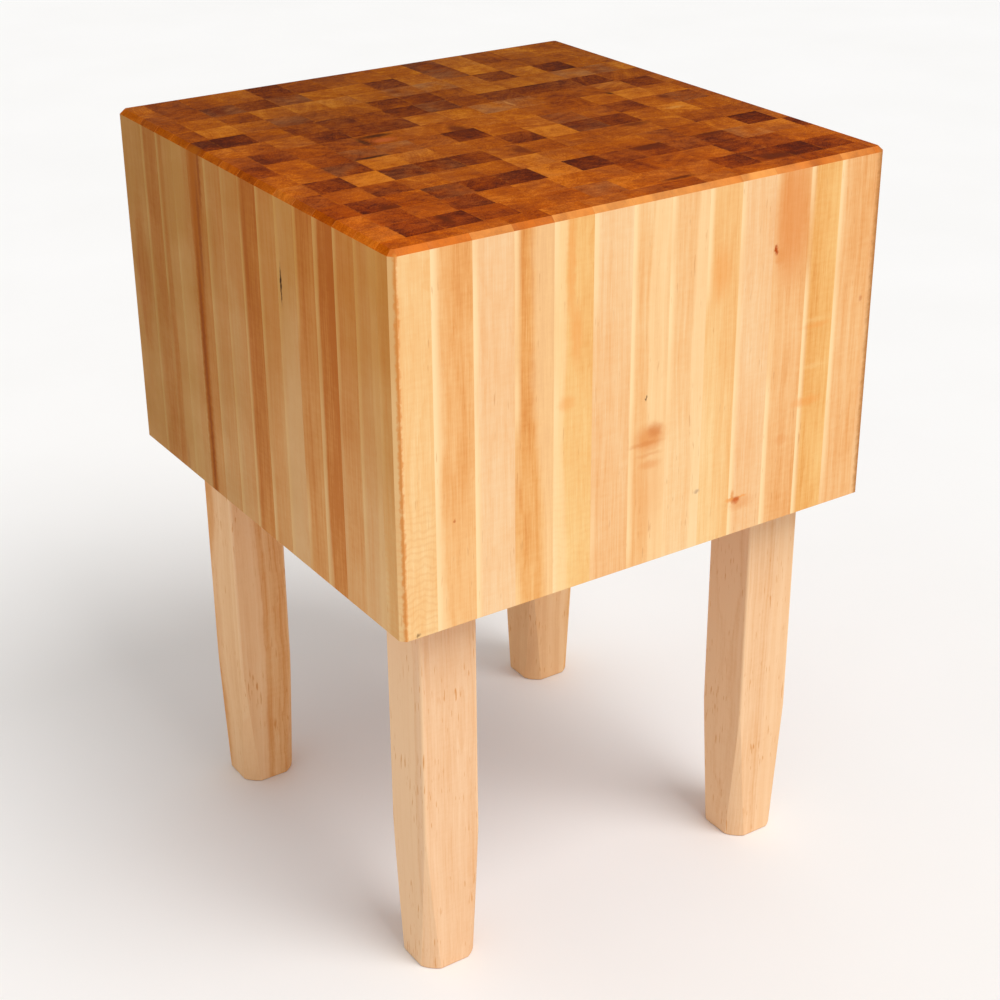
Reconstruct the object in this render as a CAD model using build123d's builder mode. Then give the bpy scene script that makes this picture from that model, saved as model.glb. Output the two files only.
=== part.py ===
from build123d import *
import os

# Butcher block table: an end-grain maple block on four bolted-on maple legs.
# Millimetres, +Z up. The origin is on the floor, under the middle of the block.
# -Y is the front face of the block and -X is its left face.

INCH = 25.4

# Overall sizes
BLOCK_WIDTH = 24 * INCH
BLOCK_DEPTH = 24 * INCH
BLOCK_HEIGHT = 16 * INCH
OVERALL_HEIGHT = 34.5 * INCH
LEG_LENGTH = OVERALL_HEIGHT - BLOCK_HEIGHT

# Block: upright staves, edge-glued into rows that run from left to right
BLOCK_CHAMFER = 5.6
FRONT_ROW = 28.0
MIDDLE_ROW = 40.1
MIDDLE_ROW_COUNT = 13
STAVE_WIDTH = 42.8
SHORTEST_OFFCUT = 12.0
FRONT_ROW_WIDTHS = [42, 46, 47, 46, 47, 47.5, 47.5, 48, 42, 45.5, 47, 42, 46.5]
# Width of the trimmed stave at the left end of each row behind the front one
LEFT_END_WIDTHS = [34, 31, 35, 31.5, 32.5, 32, 31, 32, 31, 26, 29, 29, 28.5, 28]

# Legs: square posts whose lower part is turned to a taper, which leaves a flat on each side
LEG_SIDE = 70.0
LEG_SETBACK = 48.3
LEG_ARRIS = 3.0
TURNED_LENGTH = 198.0
TURNED_TOP_RADIUS = 49.5
FOOT_RADIUS = 39.3
FOOT_EASE = 1.5
LEG_SPREAD = BLOCK_WIDTH / 2 - LEG_SETBACK - LEG_SIDE / 2

# Leg fixings: a hanger bolt screwed into each leg, and a threaded insert in the block
BOLT_DIAMETER = 9.5
BOLT_ROOT = 7.6
LAG_LENGTH = 50.0
LAG_TIP = 9.0
LAG_PITCH = 3.6
SHANK_LENGTH = 7.0
MACHINE_LENGTH = 44.0
MACHINE_PITCH = 1.6
INSERT_DIAMETER = 15.8
INSERT_ROOT = 13.4
INSERT_LENGTH = 25.0
INSERT_PITCH = 3.2
INSERT_SLOT_WIDTH = 2.0
INSERT_SLOT_DEPTH = 3.0
FIT_CLEARANCE = 0.1
BOLT_END_ROOM = 3.0

os.makedirs("parts", exist_ok=True)

LEG_PLACES = {
    "front_left": (-LEG_SPREAD, -LEG_SPREAD),
    "front_right": (LEG_SPREAD, -LEG_SPREAD),
    "back_left": (-LEG_SPREAD, LEG_SPREAD),
    "back_right": (LEG_SPREAD, LEG_SPREAD),
}


def save(piece, name):
    """Labels one finished piece and writes its STEP file."""
    piece.label = name
    export_step(piece, f"parts/{name}.step")


def row_fronts():
    """The Y of the front of every row, from the front row back, then the block's back."""
    front = -BLOCK_DEPTH / 2
    middles = [front + FRONT_ROW + MIDDLE_ROW * index for index in range(MIDDLE_ROW_COUNT + 1)]
    return [front, *middles, BLOCK_DEPTH / 2]


def stave_joints(widths):
    """The X of every joint in a row whose leading staves have these widths, both ends included."""
    joints = [-BLOCK_WIDTH / 2]
    for width in widths:
        joints.append(joints[-1] + width)
    while joints[-1] + STAVE_WIDTH < BLOCK_WIDTH / 2 - SHORTEST_OFFCUT:
        joints.append(joints[-1] + STAVE_WIDTH)
    return [*joints, BLOCK_WIDTH / 2]


# The planed and chamfered outside of the glued block, which trims the outermost staves
with BuildPart() as block_outside:
    with BuildSketch(Plane.XY.offset(LEG_LENGTH)):
        Rectangle(BLOCK_WIDTH, BLOCK_DEPTH)
    extrude(amount=BLOCK_HEIGHT)
    chamfer(block_outside.edges().filter_by(Axis.Z), BLOCK_CHAMFER)
    chamfer(block_outside.faces().sort_by(Axis.Z)[-1].edges(), BLOCK_CHAMFER)


def make_stave(left, right, front, back):
    """One upright stave, bored from below where a leg's threaded insert goes into it."""
    with BuildPart() as stave:
        with BuildSketch(Plane.XY.offset(LEG_LENGTH)):
            with Locations(((left + right) / 2, (front + back) / 2)):
                Rectangle(right - left, back - front)
        extrude(amount=BLOCK_HEIGHT)
        for x, y in LEG_PLACES.values():
            if left < x < right and front < y < back:
                underside = Plane(origin=(x, y, LEG_LENGTH), z_dir=(0, 0, -1))
                with Locations(underside):
                    CounterBoreHole(
                        radius=BOLT_DIAMETER / 2 + FIT_CLEARANCE,
                        counter_bore_radius=INSERT_DIAMETER / 2,
                        counter_bore_depth=INSERT_LENGTH,
                        depth=MACHINE_LENGTH + BOLT_END_ROOM,
                    )
        add(block_outside.part, mode=Mode.INTERSECT)
    return stave.part


def make_leg(x, y):
    """One leg: a square post cut down to a turned taper, bored on top for its hanger bolt."""
    floor_plane = Plane(origin=(x, y, 0))
    upright_plane = Plane(origin=(x, y, 0), x_dir=(1, 0, 0), z_dir=(0, -1, 0))
    full_radius = LEG_SIDE
    taper = (TURNED_TOP_RADIUS - FOOT_RADIUS) / TURNED_LENGTH
    full_height = (full_radius - FOOT_RADIUS) / taper
    with BuildPart() as leg:
        with BuildSketch(floor_plane):
            RectangleRounded(LEG_SIDE, LEG_SIDE, LEG_ARRIS)
        extrude(amount=LEG_LENGTH)
        with BuildSketch(upright_plane):
            with BuildLine():
                Polyline(
                    (0, 0),
                    (FOOT_RADIUS, 0),
                    (full_radius, full_height),
                    (0, full_height),
                    close=True,
                )
            make_face()
        revolve(axis=Axis((x, y, 0), (0, 0, 1)), mode=Mode.INTERSECT)
        chamfer(leg.faces().sort_by(Axis.Z)[0].edges(), FOOT_EASE)
        with Locations(floor_plane.offset(LEG_LENGTH)):
            Hole(radius=BOLT_DIAMETER / 2 + FIT_CLEARANCE, depth=SHANK_LENGTH + LAG_LENGTH + BOLT_END_ROOM)
    return leg.part


def thread_points(start, length, pitch, root, crest):
    """The zigzag outline of a thread going up from start, as (radius, height) points."""
    points = []
    for turn in range(int(length / pitch)):
        height = start + turn * pitch
        points += [(root, height), (crest, height + pitch / 2)]
    return [*points, (root, start + length)]


def make_hanger_bolt(x, y):
    """One hanger bolt: a pointed wood thread in the leg, a machine thread in the block."""
    upright_plane = Plane(origin=(x, y, LEG_LENGTH), x_dir=(1, 0, 0), z_dir=(0, -1, 0))
    root = BOLT_ROOT / 2
    crest = BOLT_DIAMETER / 2
    lag_start = -SHANK_LENGTH - LAG_LENGTH + LAG_TIP
    with BuildPart() as bolt:
        with BuildSketch(upright_plane):
            with BuildLine():
                Polyline(
                    (0, lag_start - LAG_TIP),
                    *thread_points(lag_start, LAG_LENGTH - LAG_TIP, LAG_PITCH, root, crest),
                    (crest, -SHANK_LENGTH),
                    (crest, 0),
                    *thread_points(0, MACHINE_LENGTH, MACHINE_PITCH, crest - MACHINE_PITCH / 2, crest),
                    (0, MACHINE_LENGTH),
                    close=True,
                )
            make_face()
        revolve(axis=Axis((x, y, 0), (0, 0, 1)))
    return bolt.part


def make_threaded_insert(x, y):
    """One threaded insert: a coarse outer thread in the wood, with a driver slot across its lower end."""
    underside = Plane(origin=(x, y, LEG_LENGTH))
    upright_plane = Plane(origin=(x, y, LEG_LENGTH), x_dir=(1, 0, 0), z_dir=(0, -1, 0))
    bore = BOLT_DIAMETER / 2 + FIT_CLEARANCE
    with BuildPart() as insert:
        with BuildSketch(upright_plane):
            with BuildLine():
                Polyline(
                    (bore, 0),
                    *thread_points(0, INSERT_LENGTH, INSERT_PITCH, INSERT_ROOT / 2, INSERT_DIAMETER / 2),
                    (bore, INSERT_LENGTH),
                    close=True,
                )
            make_face()
        revolve(axis=Axis((x, y, 0), (0, 0, 1)))
        with BuildSketch(underside):
            Rectangle(INSERT_DIAMETER, INSERT_SLOT_WIDTH)
        extrude(amount=INSERT_SLOT_DEPTH, mode=Mode.SUBTRACT)
    return insert.part


# The block's rows of staves, each row a group of separate staves, numbered from the front
fronts = row_fronts()
leading_widths = [FRONT_ROW_WIDTHS] + [[width] for width in LEFT_END_WIDTHS]
for number, (front, back, widths) in enumerate(zip(fronts, fronts[1:], leading_widths), start=1):
    joints = stave_joints(widths)
    staves = [make_stave(left, right, front, back) for left, right in zip(joints, joints[1:])]
    save(Compound(children=staves), f"stave_row_{number:02d}")

# The legs and their fixings
for place, (x, y) in LEG_PLACES.items():
    save(make_leg(x, y), f"leg_{place}")
    save(make_hanger_bolt(x, y), f"hanger_bolt_{place}")
    save(make_threaded_insert(x, y), f"threaded_insert_{place}")
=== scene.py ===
import math
import random

import bmesh
import bpy
from mathutils import Matrix, Vector


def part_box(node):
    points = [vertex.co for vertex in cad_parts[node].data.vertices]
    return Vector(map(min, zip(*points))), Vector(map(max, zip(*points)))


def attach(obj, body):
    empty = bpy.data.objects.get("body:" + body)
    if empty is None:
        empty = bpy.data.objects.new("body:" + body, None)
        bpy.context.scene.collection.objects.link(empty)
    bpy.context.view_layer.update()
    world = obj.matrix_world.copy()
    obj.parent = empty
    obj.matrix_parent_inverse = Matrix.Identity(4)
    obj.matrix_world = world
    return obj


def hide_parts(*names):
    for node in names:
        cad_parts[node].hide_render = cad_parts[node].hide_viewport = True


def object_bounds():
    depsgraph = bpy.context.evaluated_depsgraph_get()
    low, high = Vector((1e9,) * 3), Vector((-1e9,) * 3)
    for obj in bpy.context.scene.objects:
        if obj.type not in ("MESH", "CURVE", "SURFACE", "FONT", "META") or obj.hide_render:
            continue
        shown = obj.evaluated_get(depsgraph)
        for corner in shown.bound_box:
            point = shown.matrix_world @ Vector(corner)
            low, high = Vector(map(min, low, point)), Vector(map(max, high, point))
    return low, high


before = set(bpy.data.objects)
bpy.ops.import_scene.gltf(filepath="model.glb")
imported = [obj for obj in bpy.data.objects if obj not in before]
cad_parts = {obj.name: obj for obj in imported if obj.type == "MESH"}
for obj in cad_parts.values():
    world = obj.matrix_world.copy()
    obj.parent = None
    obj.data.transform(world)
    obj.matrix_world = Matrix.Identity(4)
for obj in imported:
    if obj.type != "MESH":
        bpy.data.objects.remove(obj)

# Butcher block table: the looks. Metres, in the CAD's own frame: the origin is on the floor under the
# middle of the block, -Y is the front and -X the left. Nothing here moves or resizes a CAD part.

MM = 0.001
cad_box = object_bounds()

ROW_COUNT = 15
LEGS = ("front_left", "front_right", "back_left", "back_right")
BLOCK_LOW = Vector((cad_box[0].x, cad_box[0].y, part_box("stave_row_01")[0].z))
BLOCK_HIGH = Vector(cad_box[1])

# Block details: the chamfer is the CAD's, and the arrises and seams are finer than it goes
BLOCK_CHAMFER = 5.6 * MM
ARRIS = 0.35 * MM
SEAM_HALF_WIDTH = 0.3 * MM
SEAM_DEPTH = 0.05 * MM
# A stave narrower than this is what was left of a sawn one, so it has no pale lip at its left joint
OFFCUT_WIDTH = 20.0 * MM

# Leg details, as in the CAD, and how finely a leg is drawn
LEG_ARRIS = 3.0 * MM
TURNED_LENGTH = 198.0 * MM
TURNED_TOP_RADIUS = 49.5 * MM
FOOT_RADIUS = 39.3 * MM
FOOT_EASE = 1.5 * MM
ARC_STEPS = 10
QUARTER_POINTS = ARC_STEPS + 4
TURNED_STEPS = 24
SQUARE_STEPS = 6

ROW_SEED = 4100
LEG_SEED = 77
WOOD_SPECULAR = 0.012
WOOD_BUMP = 0.18 * MM
METAL_BUMP = 0.05 * MM
FLOOR_BUMP = 0.2 * MM
FLOOR_REACH = 14.0

# Which staves stand out on the end-grain top, by row from the front: places counted from the left, from 0
DARKEST = {2: [12], 4: [5, 7, 14], 5: [13], 8: [6], 11: [0, 1], 13: [12]}
DARK = {
    2: [1, 2, 10, 11, 13], 3: [3, 11], 4: [1, 3, 4, 9, 11], 6: [1, 3, 4, 5], 7: [2, 7, 9, 10], 8: [0, 11],
    9: [1], 10: [3, 4, 5, 13], 11: [4, 6, 7, 9, 10, 11, 12], 12: [6, 7], 13: [10], 14: [2, 3, 7], 15: [4, 9],
}
DUSKY = {
    1: [11], 3: [1, 12], 4: [0, 8, 10], 5: [0, 2], 8: [2, 3, 9, 13], 9: [3, 10], 11: [3, 5, 8], 12: [3],
    14: [1, 4, 9], 15: [1, 5],
}
PALE = {
    1: [0, 2, 4, 5, 8], 2: [7, 9], 3: [0, 4, 6], 4: [12, 13], 5: [3, 12], 6: [0], 7: [4], 8: [7, 8],
    9: [7, 8, 13], 10: [0, 6, 7, 8], 12: [9, 10, 11], 13: [3, 4, 5, 9, 11], 14: [5, 6, 8], 15: [3, 10],
}
PALEST = {2: [0], 4: [6], 5: [6], 6: [2], 7: [3, 8, 12], 9: [12], 12: [1, 14], 14: [10]}
END_TONES = ((DARKEST, 0.13), (DARK, 0.27), (DUSKY, 0.42), (PALE, 0.72), (PALEST, 0.88))
MIDDLE_TONE = 0.57
# Staves whose end grain is greyish, in the same way
MAUVE = {
    2: [6], 4: [3, 12], 6: [3, 4], 7: [2, 9], 8: [3, 4, 9, 13], 10: [8, 9], 11: [7], 12: [3, 12, 13],
    13: [7, 8], 14: [2, 4, 9], 15: [9],
}
MAUVE_SHARE = 0.9

# Long-grain tone of the front row's staves from the left, how much lighter each gets from its top to its
# foot, and how pink (above 0) or yellow (below 0) it is
FRONT_TONES = [0.70, 0.42, 0.70, 0.26, 0.68, 0.74, 0.56, 0.76, 0.60, 0.70, 0.50, 0.38, 0.54, 0.36]
FRONT_FALLS = [0.10, 0.22, 0.10, 0.22, 0.20, -0.30, -0.15, 0.35, 0.30, -0.20, 0.00, 0.00, 0.00, 0.20]
FRONT_PINKS = [-0.2, 0.0, 0.7, -0.3, -0.7, 0.5, 0.1, 0.2, -0.3, 0.6, 0.3, -0.8, 0.3, 0.5]
# Front staves that differ in figure: how curly two are, one with a broad sapwood edge, and one without any
FRONT_CURLS = {0: 1.0, 4: 0.25}
SAPWOOD_STAVE = 7
SAPWOOD_PITH = 287.0 * MM
SAPWOOD_RADIUS = 69.0 * MM
ALL_HEARTWOOD_STAVE = 11
BEYOND_ANY_STAVE = 1.0
# Long-grain tone of the left-hand stave of each row behind the front one, and how much lighter its foot is
LEFT_TONES = [0.72, 0.60, 0.08, 0.34, 0.94, 0.60, 0.18, 0.82, 0.76, 0.40, 0.62, 0.42, 0.48, 0.38]
LEFT_FALL = 0.1
# Each leg's long-grain tone, and how pink or yellow it is; the back legs' low tones are painted shade
LEG_TONES_WITH_SHADE = {
    "front_left": (0.88, 0.2),
    "front_right": (0.86, 0.0),
    "back_left": (0.27, -0.4),
    "back_right": (0.34, -0.6),
}


def srgb(red, green, blue):
    """A display colour from 0 to 255 as a linear shader colour."""
    def linear(value):
        value /= 255
        return value / 12.92 if value <= 0.04045 else ((value + 0.055) / 1.055) ** 2.4
    return (linear(red), linear(green), linear(blue), 1.0)


# ---------------------------------------------------------------- shader nodes

class Graph:
    """Writes one material's node tree: each call adds a node and returns its output socket."""

    def __init__(self, name):
        self.material = bpy.data.materials.new(name)
        self.material.use_nodes = True
        self.tree = self.material.node_tree
        self.tree.nodes.clear()

    def node(self, kind, inputs=None, **settings):
        made = self.tree.nodes.new(kind)
        for key, value in settings.items():
            setattr(made, key, value)
        for key, value in (inputs or {}).items():
            if isinstance(value, bpy.types.NodeSocket):
                self.tree.links.new(value, made.inputs[key])
            else:
                made.inputs[key].default_value = value
        return made

    def math(self, operation, *values, clamp=False):
        made = self.node("ShaderNodeMath", dict(enumerate(values)), operation=operation, use_clamp=clamp)
        return made.outputs[0]

    def vector(self, operation, *values):
        made = self.node("ShaderNodeVectorMath", dict(enumerate(values)), operation=operation)
        return made.outputs["Value" if operation in ("LENGTH", "DOT_PRODUCT") else "Vector"]

    def split(self, vector):
        return tuple(self.node("ShaderNodeSeparateXYZ", {0: vector}).outputs)

    def join(self, x, y, z):
        return self.node("ShaderNodeCombineXYZ", {0: x, 1: y, 2: z}).outputs[0]

    def number(self, name):
        return self.node("ShaderNodeAttribute", attribute_name=name).outputs["Fac"]

    def place(self, name):
        return self.node("ShaderNodeAttribute", attribute_name=name).outputs["Vector"]

    def noise(self, vector, scale=1.0, detail=2.0, roughness=0.5, output="Fac"):
        inputs = {"Vector": vector, "Scale": scale, "Detail": detail, "Roughness": roughness}
        return self.node("ShaderNodeTexNoise", inputs).outputs[output]

    def noise_line(self, value, detail=2.0):
        inputs = {"W": value, "Scale": 1.0, "Detail": detail}
        return self.node("ShaderNodeTexNoise", inputs, noise_dimensions="1D").outputs["Fac"]

    def step(self, value, low, high, to_low=0.0, to_high=1.0):
        """A smooth step: to_low where value is at most low, to_high where it is at least high."""
        inputs = {"Value": value, "From Min": low, "From Max": high, "To Min": to_low, "To Max": to_high}
        return self.node("ShaderNodeMapRange", inputs, interpolation_type="SMOOTHSTEP").outputs["Result"]

    def swing(self, value, amount):
        """Turns a noise from 0 to 1 into a swing about 0."""
        return self.product(self.math("SUBTRACT", value, 0.5), amount)

    def total(self, *values):
        result = values[0]
        for value in values[1:]:
            result = self.math("ADD", result, value)
        return result

    def product(self, *values):
        result = values[0]
        for value in values[1:]:
            result = self.math("MULTIPLY", result, value)
        return result

    def mix(self, factor, a, b, blend="MIX"):
        """Colour a where the factor is 0 and b where it is 1; MULTIPLY tints a by b instead."""
        made = self.node("ShaderNodeMix", {0: factor, 6: a, 7: b}, data_type="RGBA", blend_type=blend)
        return made.outputs[2]

    def ramp(self, factor, colours):
        """Evenly spaced colours from a factor of 0 to one of 1."""
        made = self.node("ShaderNodeValToRGB", {0: factor})
        stops = made.color_ramp.elements
        while len(stops) < len(colours):
            stops.new(1.0)
        for index, colour in enumerate(colours):
            stops[index].position = index / (len(colours) - 1)
            stops[index].color = colour
        return made.outputs["Color"]

    def finish(self, colour, roughness, height, bump_distance, **constants):
        """Ends the tree in a shader and returns the material."""
        bump = self.node("ShaderNodeBump", {"Height": height, "Distance": bump_distance, "Strength": 1.0})
        inputs = {"Base Color": colour, "Roughness": roughness, "Normal": bump.outputs["Normal"], **constants}
        shader = self.node("ShaderNodeBsdfPrincipled", inputs)
        self.node("ShaderNodeOutputMaterial", {"Surface": shader.outputs[0]})
        return self.material


# ---------------------------------------------------------------- marks in the block's wood

def on_front(right, down):
    """A place on the front face, in mm from its left edge and its top."""
    return (BLOCK_LOW.x + right * MM, BLOCK_LOW.y, BLOCK_HIGH.z - down * MM)


def on_left(forward, down):
    """A place on the left face, in mm from its back edge and its top."""
    return (BLOCK_LOW.x, BLOCK_HIGH.y - forward * MM, BLOCK_HIGH.z - down * MM)


def on_top(right, forward):
    """A place on the top, in mm from its left and back edges."""
    return (BLOCK_LOW.x + right * MM, BLOCK_HIGH.y - forward * MM, BLOCK_HIGH.z)


RED_BROWN = srgb(178, 76, 24)
NEAR_BLACK = srgb(52, 22, 4)
DEEP_BROWN = srgb(96, 36, 4)
SOFT_BROWN = srgb(226, 148, 82)
ORANGE = srgb(238, 156, 80)
STRAW = srgb(250, 212, 148)
GREY = srgb(160, 128, 106)
HEARTWOOD = srgb(166, 88, 14)
HEART_LINE = srgb(140, 68, 18)
# Each mark: its place, its three radii in mm, its colour and its strength
BLOCK_MARKS = [
    # A brown patch with a red pin, near the front's top right
    (on_front(482, 56), (29.0, 5.0, 84.0), srgb(226, 142, 76), 0.68),
    (on_front(468, 96), (8.0, 3.0, 12.0), SOFT_BROWN, 0.6),
    (on_front(462, 87), (2.8, 2.4, 6.0), RED_BROWN, 1.0),
    # A small knot and its rays, low on the right
    (on_front(484, 308), (9.0, 3.0, 8.0), SOFT_BROWN, 0.4),
    (on_front(431, 371), (20.0, 2.0, 9.0), SOFT_BROWN, 0.45),
    (on_front(416, 364), (8.0, 2.0, 2.6), ORANGE, 0.8),
    (on_front(432, 363), (7.0, 2.0, 2.2), ORANGE, 0.8),
    (on_front(424, 366), (7.0, 2.0, 5.0), srgb(200, 96, 38), 0.9),
    (on_front(419, 360), (2.5, 2.0, 8.0), SOFT_BROWN, 0.8),
    # A pin and a broad swirl in the middle
    (on_front(297, 214), (1.3, 1.2, 3.2), NEAR_BLACK, 0.85),
    (on_front(300, 312), (26.0, 5.0, 62.0), srgb(234, 168, 106), 0.40),
    (on_front(303, 260), (22.0, 5.0, 17.0), SOFT_BROWN, 0.80),
    (on_front(309, 254), (11.0, 3.0, 9.0), srgb(206, 120, 60), 0.50),
    (on_front(297, 266), (24.0, 3.0, 3.0), srgb(214, 130, 68), 0.45),
    (on_front(302, 279), (20.0, 3.0, 2.6), srgb(222, 146, 82), 0.40),
    (on_front(303, 291), (16.0, 3.0, 6.0), SOFT_BROWN, 0.45),
    # Specks
    (on_front(368, 341), (4.0, 2.0, 3.2), GREY, 0.55),
    (on_front(63, 288), (1.4, 1.4, 1.8), RED_BROWN, 0.6),
    (on_front(588, 166), (3.2, 2.0, 5.0), RED_BROWN, 0.4),
    (on_front(19, 403), (2.4, 2.0, 2.6), NEAR_BLACK, 0.7),
    # Upright corner chamfers painted darker: painted shade
    (on_front(606, 203), (8.0, 9.0, 900.0), srgb(172, 112, 58), 0.85),
    (on_front(4.8, 203), (3.0, 3.0, 900.0), srgb(218, 136, 62), 0.8),
    # Warm patches, and bands across the curly stave
    (on_front(390, 98), (15.0, 4.0, 34.0), ORANGE, 0.45),
    (on_front(201, 50), (6.0, 6.0, 72.0), ORANGE, 0.50),
    (on_front(208, 124), (8.0, 6.0, 36.0), ORANGE, 0.50),
    (on_front(197, 196), (12.0, 4.0, 10.0), ORANGE, 0.4),
    (on_front(520, 177), (20.0, 3.0, 3.0), STRAW, 0.22),
    (on_front(526, 184), (22.0, 3.0, 4.0), ORANGE, 0.35),
    (on_front(524, 231), (24.0, 3.0, 3.0), STRAW, 0.22),
    (on_front(518, 271), (26.0, 2.0, 7.0), ORANGE, 0.5),
    # A black streak, a dark stave's heart and a stain on the left side
    (on_left(389, 97), (3.0, 2.2, 23.0), NEAR_BLACK, 1.0),
    (on_left(192, 250), (8.0, 11.5, 420.0), HEARTWOOD, 0.88),
    (on_left(202, 20), (8.0, 14.0, 110.0), HEARTWOOD, 0.70),
    (on_left(209, 16), (6.0, 3.6, 60.0), HEART_LINE, 0.70),
    (on_left(201, 95), (6.0, 4.4, 75.0), HEART_LINE, 0.66),
    (on_left(191, 215), (6.0, 5.0, 120.0), HEART_LINE, 0.74),
    (on_left(193, 350), (6.0, 3.4, 90.0), HEART_LINE, 0.70),
    (on_left(122, 395), (2.0, 4.0, 26.0), srgb(170, 110, 60), 0.5),
    # Knots, dark hearts and pale nicks in the end grain
    (on_top(500, 265), (5.5, 5.5, 60.0), NEAR_BLACK, 0.85),
    (on_top(543, 312), (8.0, 10.0, 60.0), DEEP_BROWN, 0.85),
    (on_top(138, 338), (24.0, 4.0, 60.0), NEAR_BLACK, 0.85),
    (on_top(66, 495), (13.0, 7.0, 60.0), DEEP_BROWN, 0.9),
    (on_top(488, 570), (22.0, 11.0, 60.0), DEEP_BROWN, 0.9),
    (on_top(92, 556), (5.0, 18.0, 60.0), DEEP_BROWN, 0.85),
    (on_top(358, 576), (22.0, 4.0, 60.0), DEEP_BROWN, 0.9),
    (on_top(398, 469), (24.0, 9.0, 60.0), DEEP_BROWN, 0.9),
    (on_top(486, 466), (24.0, 7.0, 60.0), DEEP_BROWN, 0.85),
    (on_top(444, 388), (22.0, 8.0, 60.0), DEEP_BROWN, 0.75),
    (on_top(282, 404), (12.0, 17.0, 60.0), DEEP_BROWN, 0.6),
    (on_top(183, 269), (24.0, 6.0, 60.0), NEAR_BLACK, 0.85),
    (on_top(160, 283), (5.0, 18.0, 60.0), NEAR_BLACK, 0.75),
    (on_top(183, 288), (16.0, 9.0, 60.0), srgb(186, 92, 44), 0.6),
    (on_top(272, 296), (12.0, 20.0, 60.0), DEEP_BROWN, 0.85),
    (on_top(378, 238), (2.4, 16.0, 60.0), srgb(206, 140, 72), 0.5),
    (on_top(524, 357), (14.0, 5.0, 60.0), srgb(206, 140, 62), 0.6),
    (on_top(325, 168), (7.0, 6.0, 60.0), DEEP_BROWN, 0.8),
    (on_top(88, 84), (7.0, 14.0, 60.0), DEEP_BROWN, 0.8),
    (on_top(296, 118), (9.0, 7.0, 60.0), DEEP_BROWN, 0.7),
]

# ---------------------------------------------------------------- materials

PINK_TINT = (0.985, 0.985, 1.14, 1.0)
YELLOW_TINT = (1.0, 1.02, 0.84, 1.0)
# Painted reflection: end grain painted warmer near the front and left, and hazier far back
NEAR_LESS_REFLECTION_TINT = (1.40, 1.02, 0.70, 1.0)
FAR_REFLECTION_TINT = (0.84, 0.93, 1.10, 1.0)
CURL_SHADE = srgb(226, 160, 96)
NOISE_MIDDLE = (0.5, 0.5, 0.5)


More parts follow.
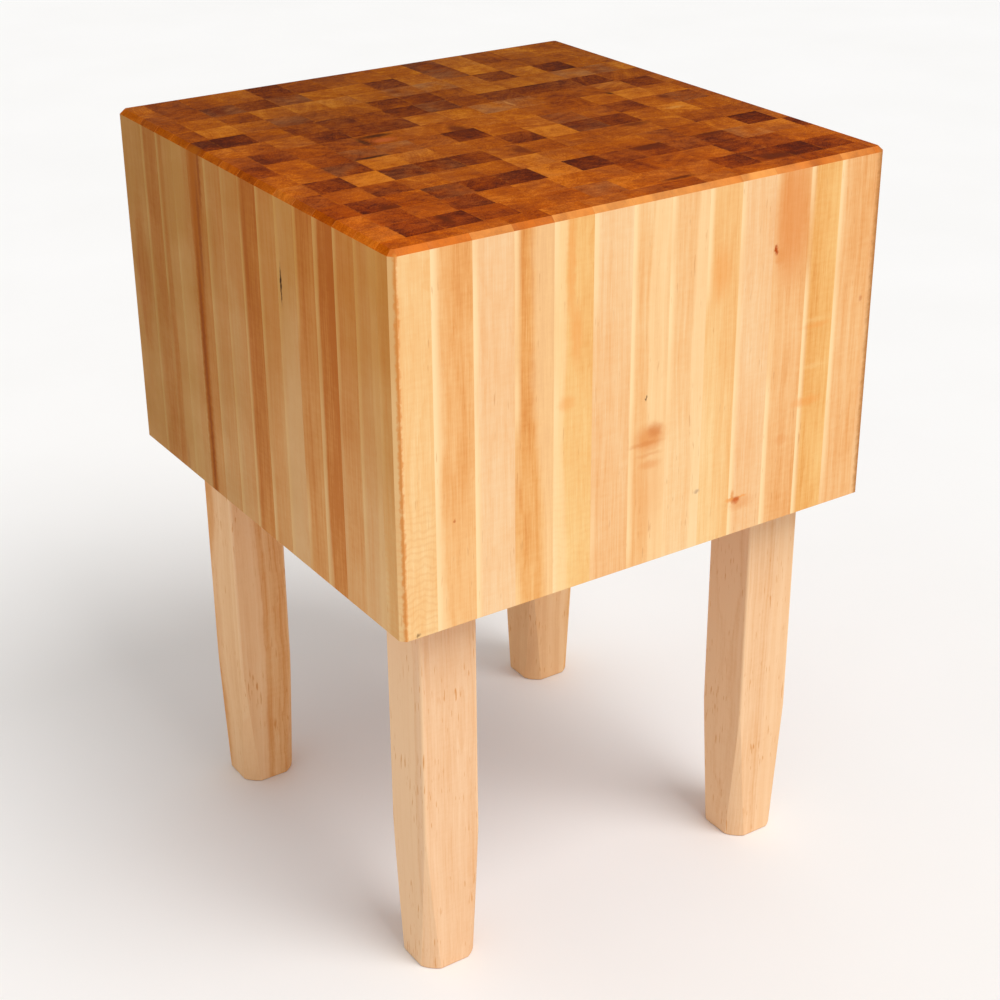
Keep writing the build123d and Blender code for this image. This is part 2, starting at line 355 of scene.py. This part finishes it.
class Grain(Graph):
    """Maple as a solid: growth rings about each stave's own pith show as arcs on the end grain and as long
    figure on the sides. Mesh attributes say where a stave's pith runs, its tones and its sapwood radius."""

    def __init__(self, name):
        super().__init__(name)
        self.position = self.node("ShaderNodeTexCoord").outputs["Object"]
        self.shifted = self.vector("ADD", self.position, self.place("seed"))
        self.x, self.y, self.z = self.split(self.position)
        self.front = self.step(self.y, BLOCK_LOW.y, BLOCK_HIGH.y, 1.0, 0.0)
        self.end_share = self.number("end_share")
        self.lean = self.vector("DOT_PRODUCT", self.position, self.place("lean"))
        across = self.vector("DOT_PRODUCT", self.position, self.place("across"))
        self.inwards = self.math("SUBTRACT", across, self.number("start"))
        self.fibre = self.stretched(900.0, 900.0, 26.0, 3.0, 0.6)
        self.pores = self.noise(self.shifted, 700.0, 3.0, 0.7)
        self.blotch = self.stretched(46.0, 46.0, 6.0, 3.0, 0.6)
        self.smear = self.stretched(95.0, 190.0, 10.0)
        self.make_rings()

    def stretched(self, x, y, z, detail=2.0, roughness=0.5, output="Fac"):
        """A noise with its own frequency, per metre, along each axis: a low one draws it out."""
        place = self.vector("MULTIPLY", self.shifted, (x, y, z))
        return self.noise(place, 1.0, detail, roughness, output)

    def make_rings(self):
        """The way from the pith, and the rings along it. The grain wanders, and no ring is quite round."""
        drift = self.vector("SUBTRACT", self.stretched(3.0, 3.0, 4.5, output="Color"), NOISE_MIDDLE)
        drift = self.vector("MULTIPLY", drift, (0.020, 0.020, 0.0))
        heart = self.vector("ADD", self.vector("SUBTRACT", self.position, self.place("pith")), drift)
        self.heart = self.vector("MULTIPLY", heart, (1.0, 1.0, 0.0))
        waver = self.swing(self.noise(self.shifted, 55.0), 0.0025)
        self.radius = self.math("ADD", self.vector("LENGTH", self.heart), waver)
        phase = self.math("DIVIDE", self.radius, self.number("ring_spacing"))
        ring = self.math("FRACT", phase)
        darkening, ending = self.step(ring, 0.55, 0.93), self.step(ring, 0.93, 1.0, 1.0, 0.0)
        strength = self.noise_line(self.product(phase, 0.9))
        self.late_wood = self.product(darkening, ending, strength)
        self.bands = self.noise_line(self.product(self.radius, 130.0), 3.0)

    def side_grain(self, colours, figure):
        """The long grain's colour, with the stave's own pink or yellow."""
        streaks = self.stretched(210.0, 210.0, 5.0)
        cloud = self.stretched(28.0, 28.0, 9.0)
        ripple = self.stretched(70.0, 70.0, 230.0)
        tone = self.total(
            self.number("side_tone"),
            self.lean,
            self.swing(self.bands, figure),
            self.swing(self.fibre, 0.66),
            self.swing(streaks, 0.45),
            self.swing(cloud, 0.55),
            self.swing(ripple, 0.22),
            self.product(self.late_wood, -0.3 * figure),
        )
        side = self.ramp(tone, colours)
        pink = self.number("pink")
        side = self.mix(self.math("MAXIMUM", pink, 0.0), side, PINK_TINT, "MULTIPLY")
        yellow = self.math("MAXIMUM", self.product(pink, -1.0), 0.0)
        return self.mix(yellow, side, YELLOW_TINT, "MULTIPLY")

    def add_sapwood(self, side, sapwood):
        """Pale wood along the stave's first joint, in some stretches, and outside its sapwood radius."""
        stretches = self.step(self.stretched(8.0, 8.0, 3.5), 0.36, 0.54)
        lip = self.product(self.step(self.inwards, 0.0015, 0.0095, 0.95, 0.0), stretches)
        side = self.mix(lip, side, sapwood)
        outside = self.math("SUBTRACT", self.radius, self.number("sap_radius"))
        return self.mix(self.step(outside, -0.0015, 0.0030, 0.0, 0.50), side, sapwood)

    def add_oil_and_shade(self, side, oil_and_shade_tints):
        """Oil that has soaked in unevenly, less towards the foot, with one tint in front and one behind.
        The same tint on the right upright corners is painted shade.
        """
        front_tint, back_tint = oil_and_shade_tints
        foot = self.step(self.z, BLOCK_LOW.z, BLOCK_HIGH.z, 1.0, 0.0)
        soaked = self.total(
            1.0,
            self.product(foot, -0.10),
            self.product(self.front, foot, -0.45),
            self.swing(self.noise(self.position, 14.0, 3.0), 0.40),
        )
        # The right upright corners take this tint fully: there it is painted shade
        oil_and_shade = self.math("MULTIPLY", self.number("oil_and_shade"), soaked, clamp=True)
        return self.mix(oil_and_shade, side, self.mix(self.front, back_tint, front_tint), "MULTIPLY")

    def add_flecks(self, side, start, strength, colour):
        """Short dark pith flecks along the grain, in some places only."""
        field = self.step(self.stretched(440.0, 440.0, 44.0, 1.0), start, start + 0.08)
        zone = self.step(self.stretched(30.0, 30.0, 14.0), 0.42, 0.62)
        return self.mix(self.product(field, zone, strength), side, colour)

    def add_curl(self, side):
        """Cross-grain curl on the curly staves, strongest low down."""
        bend = self.swing(self.stretched(60.0, 60.0, 34.0), 16.0)
        wave = self.math("SINE", self.math("ADD", self.product(self.z, 760.0), bend))
        curl = self.product(wave, self.number("curl"), self.step(self.z, 0.56, 0.66, 1.0, 0.15))
        return self.mix(self.product(self.math("MAXIMUM", curl, 0.0), 0.22), side, CURL_SHADE)

    def end_grain(self, colours, mauve_colours):
        """The end grain's colour: arcs, rays across them, blotches where it took oil, and greyish patches."""
        x, y, _ = self.split(self.heart)
        turn = self.product(self.math("ARCTAN2", y, x), 90.0)
        rays = self.noise(self.join(turn, self.product(self.radius, 60.0), 0.0))
        tone = self.total(
            self.number("end_tone"),
            self.lean,
            self.swing(self.blotch, 0.70),
            self.swing(self.smear, 0.55),
            self.swing(self.pores, 1.30),
            self.swing(rays, 0.30),
            self.swing(self.bands, 0.30),
            self.product(self.late_wood, -0.14),
        )
        mauve_cloud = self.step(self.stretched(34.0, 34.0, 4.0, 4.0), 0.25, 0.80)
        mauve = self.product(self.number("mauve"), mauve_cloud)
        end = self.mix(mauve, self.ramp(tone, colours), self.ramp(tone, mauve_colours))
        # A pale line along each stave's left joint on the end grain, in stretches: a painted highlight
        stretches = self.step(self.smear, 0.42, 0.58)
        lip = self.product(self.step(self.inwards, 0.0, 0.0022, 0.28, 0.0), stretches)
        return self.mix(lip, end, colours[-1])

    def add_reflection_and_wear(self, end, edge_colours):
        """End grain is painted warmer at the front and left and cooler far back, a painted reflection, and is
        worn on the chamfer.
        """
        near_front = self.step(self.y, BLOCK_LOW.y, BLOCK_LOW.y + 0.25, 0.50, 0.0)
        near_left = self.step(self.x, BLOCK_LOW.x, BLOCK_LOW.x + 0.18, 0.30, 0.0)
        patches = self.step(self.blotch, 0.3, 0.7, 0.6, 1.0)
        # Painted reflection: warmer in patches near the front and left, hazier far back
        less_reflection = self.product(self.total(near_front, near_left), patches)
        end = self.mix(less_reflection, end, NEAR_LESS_REFLECTION_TINT, "MULTIPLY")
        end = self.mix(self.step(self.front, 0.1, 0.6, 1.0, 0.0), end, FAR_REFLECTION_TINT, "MULTIPLY")
        edge_tone = self.total(self.number("side_tone"), self.lean, self.product(near_left, -1.6))
        edge_colour = self.mix(self.step(edge_tone, 0.25, 0.70), *edge_colours)
        edge = self.product(self.number("edge"), self.step(self.blotch, 0.2, 0.8, 0.40, 0.90))
        return self.mix(edge, end, edge_colour)

    def add_marks(self, colour, marks):
        """Small knots, pins and stains, with wavering outlines."""
        waver = self.vector("SUBTRACT", self.noise(self.shifted, 150.0, 2.0, 0.6, "Color"), NOISE_MIDDLE)
        waver = self.vector("MULTIPLY", waver, (0.006, 0.006, 0.006))
        position = self.vector("ADD", self.position, waver)
        for place, radii, mark_colour, strength in marks:
            offset = self.vector("SUBTRACT", position, place)
            squeeze = [1 / (radius * MM) for radius in radii]
            distance = self.vector("LENGTH", self.vector("MULTIPLY", offset, squeeze))
            colour = self.mix(self.step(distance, 0.3, 1.25, strength, 0.0), colour, mark_colour)
        return colour

    def surface(self):
        """The wood's roughness and its fine height."""
        roughness = self.total(
            0.46,
            self.swing(self.blotch, 0.16),
            self.swing(self.fibre, 0.10),
            self.product(self.end_share, 0.10),
        )
        side_height = self.total(self.product(self.fibre, 0.55), self.product(self.late_wood, -0.25))
        end_height = self.total(self.product(self.pores, 0.8), self.product(self.late_wood, 0.35))
        side_share = self.math("SUBTRACT", 1.0, self.end_share)
        height = self.total(self.product(side_height, side_share), self.product(end_height, self.end_share))
        return roughness, height


def wood(name, end_colours, side_colours, sapwood, mauve_colours, edge_colours, seam_colour, oil_and_shade_tints,
         figure, fleck_start, fleck_strength, fleck_colour, marks=()):
    """A maple material, which shows long grain or end grain by each face's end share."""
    grain = Grain(name)
    side = grain.side_grain(side_colours, figure)
    side = grain.add_sapwood(side, sapwood)
    side = grain.add_oil_and_shade(side, oil_and_shade_tints)
    # Edges painted pale towards the sapwood: a painted highlight on the legs' arrises, worn wood on the
    # block's top chamfers
    side = grain.mix(grain.product(grain.number("edge"), 0.55), side, sapwood)
    side = grain.add_flecks(side, fleck_start, fleck_strength, fleck_colour)
    side = grain.add_curl(side)
    end = grain.end_grain(end_colours, mauve_colours)
    end = grain.add_reflection_and_wear(end, edge_colours)
    colour = grain.mix(grain.end_share, side, end)
    if marks:
        colour = grain.add_marks(colour, marks)
    seam_share = grain.product(grain.number("seam"), grain.step(grain.end_share, 0.0, 1.0, 0.0, 0.36))
    colour = grain.mix(seam_share, colour, seam_colour)
    roughness, height = grain.surface()
    constants = {"Specular IOR Level": WOOD_SPECULAR}
    return grain.finish(colour, roughness, height, WOOD_BUMP, **constants)


def metal(name, light, dark, roughness):
    """A plated or machined metal with fine turning lines round its axis and a little tarnish."""
    graph = Graph(name)
    position = graph.node("ShaderNodeTexCoord").outputs["Object"]
    lines = graph.noise(graph.vector("MULTIPLY", position, (60.0, 60.0, 5000.0)), 1.0, 2.0)
    tarnish = graph.noise(position, 120.0, 4.0, 0.6)
    tone = graph.total(0.5, graph.swing(lines, 0.5), graph.swing(tarnish, 0.8))
    colour = graph.ramp(tone, [dark, light])
    rough = graph.total(roughness, graph.swing(tarnish, 0.3))
    return graph.finish(colour, rough, lines, METAL_BUMP, Metallic=1.0)


block_wood = wood(
    "block_maple_oiled",
    end_colours=[
        srgb(72, 20, 0), srgb(118, 45, 0), srgb(146, 66, 0), srgb(168, 84, 2), srgb(196, 114, 24),
    ],
    side_colours=[
        srgb(218, 142, 76), srgb(232, 166, 100), srgb(240, 184, 122), srgb(243, 196, 138),
        srgb(246, 208, 154),
    ],
    sapwood=srgb(252, 217, 164),
    mauve_colours=[srgb(96, 44, 16), srgb(138, 80, 40), srgb(172, 112, 60)],
    edge_colours=(srgb(222, 110, 0), srgb(243, 160, 76)),
    seam_colour=srgb(126, 66, 20),
    oil_and_shade_tints=[(0.66, 0.45, 0.21, 1.0), (0.48, 0.355, 0.185, 1.0)],
    figure=0.42,
    fleck_start=0.69,
    fleck_strength=0.35,
    fleck_colour=srgb(190, 116, 58),
    marks=BLOCK_MARKS,
)
leg_wood = wood(
    "leg_maple_satin",
    end_colours=[srgb(140, 84, 44), srgb(172, 112, 66), srgb(196, 138, 90), srgb(214, 160, 112)],
    side_colours=[srgb(220, 154, 96), srgb(231, 176, 124), srgb(237, 190, 144), srgb(243, 201, 158)],
    sapwood=srgb(248, 208, 164),
    mauve_colours=[srgb(160, 110, 78), srgb(200, 150, 110)],
    edge_colours=(srgb(214, 160, 112), srgb(214, 160, 112)),
    seam_colour=srgb(150, 96, 56),
    oil_and_shade_tints=[(1.0, 1.0, 1.0, 1.0), (1.0, 1.0, 1.0, 1.0)],
    figure=0.85,
    fleck_start=0.635,
    fleck_strength=0.85,
    fleck_colour=srgb(214, 144, 80),
)


# ---------------------------------------------------------------- meshes

def stave_facts(chance, end_tone, side_tone, middle, fall=0.0, pink=0.0):
    """The wood of one stave: where its tree's pith ran, its tones, how they change across it, its rings."""
    bearing = chance.uniform(0, math.tau)
    distance = chance.uniform(18, 110) * MM
    lean = Vector((chance.uniform(-5, 5), chance.uniform(-5, 5), -fall / (BLOCK_HIGH.z - BLOCK_LOW.z)))
    level = lean.dot(middle)
    return {
        "pith": (middle.x + distance * math.cos(bearing), middle.y + distance * math.sin(bearing), 0.0),
        "seed": (chance.uniform(0, 9), chance.uniform(0, 9), chance.uniform(0, 9)),
        "lean": tuple(lean),
        "end_tone": end_tone + fall / 2 - level,
        "side_tone": side_tone - level,
        "ring_spacing": chance.uniform(2.4, 4.6) * MM,
        "sap_radius": distance + chance.uniform(0, 50) * MM,
        "curl": 0.0,
        "pink": pink,
        "mauve": chance.uniform(0.0, 0.35),
    }


def write_facts(mesh, facts_by_face, seams):
    """Stores every fact of every face, and the seam share of every point, as mesh attributes."""
    for name, first in facts_by_face[0].items():
        values = [facts[name] for facts in facts_by_face]
        if isinstance(first, tuple):
            numbers = [number for value in values for number in value]
            mesh.attributes.new(name, "FLOAT_VECTOR", "FACE").data.foreach_set("vector", numbers)
        else:
            mesh.attributes.new(name, "FLOAT", "FACE").data.foreach_set("value", values)
    mesh.attributes.new("seam", "FLOAT", "POINT").data.foreach_set("value", seams)


def make_piece(bm, name, facts_by_face, seams, material):
    """Turns a finished shape into a piece of the root body."""
    mesh = bpy.data.meshes.new(name)
    bm.to_mesh(mesh)
    bm.free()
    write_facts(mesh, facts_by_face, seams)
    mesh.materials.append(material)
    piece = bpy.data.objects.new(name, mesh)
    bpy.context.scene.collection.objects.link(piece)
    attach(piece, "root")
    return piece


def block_solid(bm):
    """The whole chamfered block as three eight-sided rings and their walls."""
    low, high, cut = BLOCK_LOW, BLOCK_HIGH, BLOCK_CHAMFER

    def ring(inset, corner, z):
        left, right = low.x + inset, high.x - inset
        front, back = low.y + inset, high.y - inset
        outline = [
            (left + corner, front), (right - corner, front),
            (right, front + corner), (right, back - corner),
            (right - corner, back), (left + corner, back),
            (left, back - corner), (left, front + corner),
        ]
        return [bm.verts.new((x, y, z)) for x, y in outline]

    top_corner = cut * (math.sqrt(2) - 1)
    rings = [ring(0, cut, low.z), ring(0, cut, high.z - cut), ring(cut, top_corner, high.z)]
    bm.faces.new(reversed(rings[0]))
    bm.faces.new(rings[2])
    for below, above in zip(rings, rings[1:]):
        for index in range(8):
            after = (index + 1) % 8
            bm.faces.new((below[index], below[after], above[after], above[index]))


def cut_slab(bm, place, keep):
    """Cuts the solid across Y at a place, keeps one side ("back" or "front" of it) and closes the cut."""
    geometry = bm.verts[:] + bm.edges[:] + bm.faces[:]
    cut = bmesh.ops.bisect_plane(bm, geom=geometry, dist=1e-7, plane_co=(0, place, 0), plane_no=(0, 1, 0),
                                 clear_inner=keep == "back", clear_outer=keep == "front")
    edges = [item for item in cut["geom_cut"] if isinstance(item, bmesh.types.BMEdge)]
    bmesh.ops.edgeloop_fill(bm, edges=edges)


def stave_joints(node, inner_y):
    """The X of every joint along a row, read off its CAD staves where they meet the next row."""
    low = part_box(node)[0]
    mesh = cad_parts[node].data
    corners = [vertex.co for vertex in mesh.vertices]
    on_line = [co.x for co in corners if abs(co.y - inner_y) < 1e-5 and abs(co.z - low.z) < 1e-5]
    return sorted({round(x, 5) for x in on_line})


def stave_tone(row, place, chance):
    """The end-grain tone of one stave, from the lists above, with a little chance."""
    for staves, tone in END_TONES:
        if place in staves.get(row, []):
            return tone + chance.uniform(-0.04, 0.04)
    return MIDDLE_TONE + chance.uniform(-0.13, 0.13)


def oil_and_shade_on(sideways):
    """How oiled a face is, by its normal's X: the sides are, the right corners more as painted shade, the
    left less.
    """
    if abs(sideways) > 0.9:
        return 1.0
    if sideways > 0.3:
        return 1.5
    return 0.65 if sideways < -0.3 else 0.0

def row_solid(low, high, is_front, is_back):
    """A row's slab of the block, with eased arrises."""
    bm = bmesh.new()
    block_solid(bm)
    if not is_front:
        cut_slab(bm, low.y, "back")
    if not is_back:
        cut_slab(bm, high.y, "front")
    bm.normal_update()
    sharp = [edge for edge in bm.edges if edge.calc_face_angle(0) > math.radians(20)]
    bmesh.ops.bevel(bm, geom=sharp, offset=ARRIS, segments=2, profile=0.5, affect="EDGES", clamp_overlap=True)
    return bm


def cut_seams(bm, joints):
    """Presses a fine V into the slab along every joint, and returns the points at its bottom."""
    for joint in joints:
        for offset in (-SEAM_HALF_WIDTH, 0.0, SEAM_HALF_WIDTH):
            geometry = bm.verts[:] + bm.edges[:] + bm.faces[:]
            plane = (joint + offset, 0, 0)
            bmesh.ops.bisect_plane(bm, geom=geometry, dist=1e-7, plane_co=plane, plane_no=(1, 0, 0))
    bm.normal_update()
    bottoms = [v for v in bm.verts if min(abs(v.co.x - joint) for joint in joints) < 1e-6]
    for vertex in bottoms:
        vertex.co -= vertex.normal * SEAM_DEPTH
    bm.normal_update()
    return bottoms


def row_staves(row, joints, low, high):
    """The wood of every stave of a row, from the left."""
    chance = random.Random(ROW_SEED + row)
    is_front = row == 1
    staves = []
    for place, (left, right) in enumerate(zip(joints, joints[1:])):
        middle = Vector(((left + right) / 2, (low.y + high.y) / 2, (low.z + high.z) / 2))
        side_tone = chance.uniform(0.25, 0.8)
        fall = chance.uniform(-0.1, 0.4)
        pink = chance.uniform(-0.8, 0.8)
        if is_front:
            side_tone, fall, pink = FRONT_TONES[place], FRONT_FALLS[place], FRONT_PINKS[place]
        elif place == 0:
            side_tone, fall = LEFT_TONES[row - 2], LEFT_FALL
            pink = 0.9 * side_tone - 0.2
        end_tone = stave_tone(row, place, chance)
        stave = stave_facts(chance, end_tone, side_tone, middle, fall, pink)
        if place in MAUVE.get(row, []):
            stave["mauve"] = MAUVE_SHARE
        staves.append(stave)
    if is_front:
        for place, curl in FRONT_CURLS.items():
            staves[place]["curl"] = curl
        pith = (BLOCK_LOW.x + SAPWOOD_PITH, low.y, 0.0)
        staves[SAPWOOD_STAVE].update(pith=pith, sap_radius=SAPWOOD_RADIUS)
        staves[ALL_HEARTWOOD_STAVE]["sap_radius"] = BEYOND_ANY_STAVE
    return staves


def row_face_facts(face, joints, staves, high):
    """One face of a row: its stave's wood, its end grain, oil and painted shade, wear, and where its pale lip
    starts.
    """
    middle = face.calc_center_median()
    place = sum(middle.x > joint for joint in joints[1:-1])
    end_share, edge = 0.0, 0.0
    if abs(face.normal.z) > 0.9:
        end_share = 1.0
    elif middle.z > high.z - BLOCK_CHAMFER:
        end_share, edge = (0.92, 1.0) if face.normal.y < -0.3 else (1.0, 0.25)
    is_offcut = joints[place + 1] - joints[place] < OFFCUT_WIDTH
    across, start = (1, 0, 0), joints[place] - (OFFCUT_WIDTH if is_offcut else 0.0)
    if abs(face.normal.x) > 0.9:
        across, start = (0, -1, 0), -high.y
    shown = {"end_share": end_share, "oil_and_shade": oil_and_shade_on(face.normal.x), "edge": edge}
    return {**staves[place], **shown, "across": across, "start": start}


def make_row(row):
    """One glued row of staves: a closed slab of the block, with eased arrises and fine V seams."""
    node = f"stave_row_{row:02d}"
    low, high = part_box(node)
    is_front, is_back = row == 1, row == ROW_COUNT
    joints = stave_joints(node, high.y if is_front else low.y)

    bm = row_solid(low, high, is_front, is_back)
    bottoms = cut_seams(bm, joints[1:-1])
    glued = [y for y, is_outer in ((low.y, is_front), (high.y, is_back)) if not is_outer]
    seamed = set(bottoms) | {v for v in bm.verts if min(abs(v.co.y - y) for y in glued) < 1e-6}
    seams = [1.0 if vertex in seamed else 0.0 for vertex in bm.verts]

    staves = row_staves(row, joints, low, high)
    facts_by_face = [row_face_facts(face, joints, staves, high) for face in bm.faces]
    piece = make_piece(bm, f"glued_row_{row:02d}", facts_by_face, seams, block_wood)
    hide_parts(node)


def leg_outline(half, height):
    """A leg's outline at a height, round from the middle of its right side: a square with eased arrises, cut
    by the turned taper where that is narrower. Each quarter has QUARTER_POINTS points."""
    taper = (TURNED_TOP_RADIUS - FOOT_RADIUS) / TURNED_LENGTH
    turned = FOOT_RADIUS + taper * height
    inner = half - LEG_ARRIS
    corner = []
    if turned < math.hypot(half, inner):
        start = math.acos(half / turned)
        for step in range(ARC_STEPS + 1):
            angle = start + (math.pi / 2 - 2 * start) * step / ARC_STEPS
            corner.append((turned * math.cos(angle), turned * math.sin(angle)))
    else:
        for step in range(ARC_STEPS + 1):
            angle = math.pi / 2 * step / ARC_STEPS
            x = inner + LEG_ARRIS * math.cos(angle)
            y = inner + LEG_ARRIS * math.sin(angle)
            shrink = min(1.0, turned / math.hypot(x, y))
            corner.append((x * shrink, y * shrink))
    quarter = [(half, 0.0), (half, corner[0][1] * 0.6), *corner, (corner[-1][0] * 0.6, half)]
    points = []
    for turn in range(4):
        spin = Matrix.Rotation(turn * math.pi / 2, 2)
        points += [spin @ Vector(point) for point in quarter]
    return points


def leg_solid(low, high):
    """A leg as rings of points up its turned and square parts, with crisp lines where a flat meets the
    turning. Also returns each face's painted highlight: pale on its arrises, less so towards the foot."""
    centre = (low + high) / 2
    half = (high.x - low.x) / 2
    length = high.z - low.z
    bm = bmesh.new()

    def ring(height, inset=0.0):
        shrink = 1 - inset / half
        outline = leg_outline(half, height)
        places = [(centre.x + point.x * shrink, centre.y + point.y * shrink) for point in outline]
        return [bm.verts.new((x, y, low.z + height)) for x, y in places]

    turned = [FOOT_EASE + (TURNED_LENGTH - FOOT_EASE) * n / TURNED_STEPS for n in range(TURNED_STEPS + 1)]
    square = [TURNED_LENGTH + (length - TURNED_LENGTH) * n / SQUARE_STEPS for n in range(1, SQUARE_STEPS)]
    rings = [ring(0.0, FOOT_EASE), ring(FOOT_EASE * 0.3, FOOT_EASE * 0.3)]
    rings += [ring(height) for height in (*turned, *square, length - ARRIS)]
    rings.append(ring(length, ARRIS))

    bm.faces.new(reversed(rings[0]))
    bm.faces.new(rings[-1])
    arris_highlight = [0.0, 0.0]
    first, last = 2, QUARTER_POINTS - 2
    for below, above in zip(rings, rings[1:]):
        squareness = min(1.0, (below[0].co.z - low.z) / TURNED_LENGTH)
        for index in range(len(below)):
            after = (index + 1) % len(below)
            face = bm.faces.new((below[index], below[after], above[after], above[index]))
            face.smooth = True
            step = index % QUARTER_POINTS
            # Faces round each arris get the painted highlight, full on the square part and less down the
            # turning
            arris_highlight.append(squareness if first <= step < last else 0.0)
            if step in (first, last):
                bm.edges.get((below[index], above[index])).smooth = False
    for crisp in (rings[0], rings[2], rings[-2], rings[-1]):
        for point, after in zip(crisp, crisp[1:] + crisp[:1]):
            bm.edges.get((point, after)).smooth = False
    bm.normal_update()
    return bm, arris_highlight


def make_leg(place, chance):
    """One leg, from its own length of maple."""
    low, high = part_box(f"leg_{place}")
    bm, arris_highlight = leg_solid(low, high)
    side_tone, pink = LEG_TONES_WITH_SHADE[place]
    stave = stave_facts(chance, 0.5, side_tone, (low + high) / 2, 0.0, pink)
    facts_by_face = []
    for face, edge in zip(bm.faces, arris_highlight):
        end_share = 1.0 if abs(face.normal.z) > 0.9 else 0.0
        shown = {"end_share": end_share, "oil_and_shade": 0.0, "edge": edge, "across": (1, 0, 0), "start": -1.0}
        facts_by_face.append({**stave, **shown})
    seams = [0.0] * len(bm.verts)
    piece = make_piece(bm, f"turned_leg_{place}", facts_by_face, seams, leg_wood)
    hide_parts(f"leg_{place}")


for row in range(1, ROW_COUNT + 1):
    make_row(row)
leg_chance = random.Random(LEG_SEED)
for place in LEGS:
    make_leg(place, leg_chance)

# The fixings inside the wood keep their CAD shapes
fixings = {
    "hanger_bolt": metal("zinc_plated_steel", srgb(205, 206, 208), srgb(150, 152, 156), 0.34),
    "threaded_insert": metal("machined_brass", srgb(222, 186, 112), srgb(176, 134, 70), 0.30),
}
for kind, material in fixings.items():
    for place in LEGS:
        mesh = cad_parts[f"{kind}_{place}"].data
        mesh.materials.clear()
        mesh.materials.append(material)


# ---------------------------------------------------------------- stage, light and camera

def add_floor():
    """A plain pale floor."""
    graph = Graph("pale_floor")
    position = graph.node("ShaderNodeTexCoord").outputs["Object"]
    mottle = graph.noise(position, 2.5, 3.0)
    colour = graph.ramp(mottle, [srgb(242, 241, 239), srgb(247, 246, 245)])
    material = graph.finish(colour, graph.total(0.75, graph.swing(mottle, 0.1)), mottle, FLOOR_BUMP)
    mesh = bpy.data.meshes.new("floor")
    corners = [(x * FLOOR_REACH, y * FLOOR_REACH, 0) for x, y in ((-1, -1), (1, -1), (1, 1), (-1, 1))]
    mesh.from_pydata(corners, [], [(0, 1, 2, 3)])
    mesh.materials.append(material)
    floor = bpy.data.objects.new("floor", mesh)
    bpy.context.scene.collection.objects.link(floor)


def add_key():
    """A broad, distant soft light from the front right, well above the table."""
    light = bpy.data.lights.new("key", "SUN")
    light.energy = 1.75
    light.angle = math.radians(35)
    lamp = bpy.data.objects.new("key", light)
    tilt, turn = math.radians(55), math.radians(20)
    source = Vector((math.sin(turn) * math.cos(tilt), -math.cos(turn) * math.cos(tilt), math.sin(tilt)))
    lamp.rotation_euler = (-source).to_track_quat("-Z", "Y").to_euler()
    bpy.context.scene.collection.objects.link(lamp)


def add_world():
    """An even white studio surround."""
    world = bpy.data.worlds.new("studio")
    world.use_nodes = True
    background = world.node_tree.nodes["Background"]
    background.inputs["Color"].default_value = (1.0, 1.0, 1.0, 1.0)
    background.inputs["Strength"].default_value = 0.62
    bpy.context.scene.world = world


def add_camera():
    """A camera at the table's front left, a little above the block's top."""
    camera = bpy.data.cameras.new("camera")
    camera.sensor_width = 36.0
    camera.lens = 68.54
    camera.shift_x = -0.0089
    camera.shift_y = -0.0410
    eye = bpy.data.objects.new("camera", camera)
    turn, tilt, roll = math.radians(-33.64), math.radians(25.15), math.radians(-0.26)
    back = Vector((math.sin(turn) * math.cos(tilt), -math.cos(turn) * math.cos(tilt), math.sin(tilt)))
    aim = (-back).to_track_quat("-Z", "Y").to_matrix().to_4x4()
    eye.matrix_world = Matrix.Translation((-1.1160, -1.7156, 1.4335)) @ aim @ Matrix.Rotation(roll, 4, "Z")
    bpy.context.scene.collection.objects.link(eye)
    bpy.context.scene.camera = eye


add_floor()
add_world()
add_key()
add_camera()
bpy.context.scene.view_settings.view_transform = "Standard"
